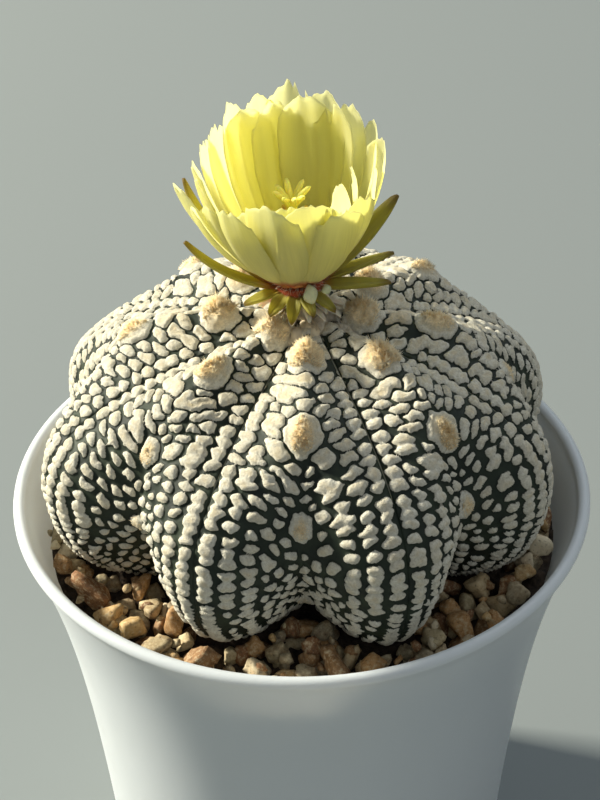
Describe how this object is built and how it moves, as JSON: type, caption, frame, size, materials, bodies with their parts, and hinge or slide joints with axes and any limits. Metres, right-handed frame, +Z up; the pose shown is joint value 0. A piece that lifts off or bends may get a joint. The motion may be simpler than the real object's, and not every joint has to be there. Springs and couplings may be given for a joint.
{
  "type": "potted star cactus",
  "caption": "Spineless ribbed star cactus covered in cream flecks, with a pale yellow flower, in stone grit in a flared white pot.",
  "frame": {"origin": "centre of the pot's foot, on the surface that it stands on", "axes": "+Z up through the pot and the flower, -Y towards the front of the plant, +X to its right"},
  "size_m": [0.1048, 0.1048, 0.174],
  "materials": {
    "white_plastic": "satin",
    "potting_soil": "matte",
    "broken_stone": "matte",
    "flecked_skin": "matte",
    "green_bracts": "satin",
    "yellow_petals": "satin",
    "pollen": "matte",
    "stigma": "satin"
  },
  "bodies": {
    "root": {"pot": "white_plastic", "soil": "potting_soil", "grit": "broken_stone", "cactus_body": "flecked_skin", "flower_tube": "green_bracts", "petals": "yellow_petals", "stamens": "pollen", "pistil": "stigma"}
  },
  "joints": []
}
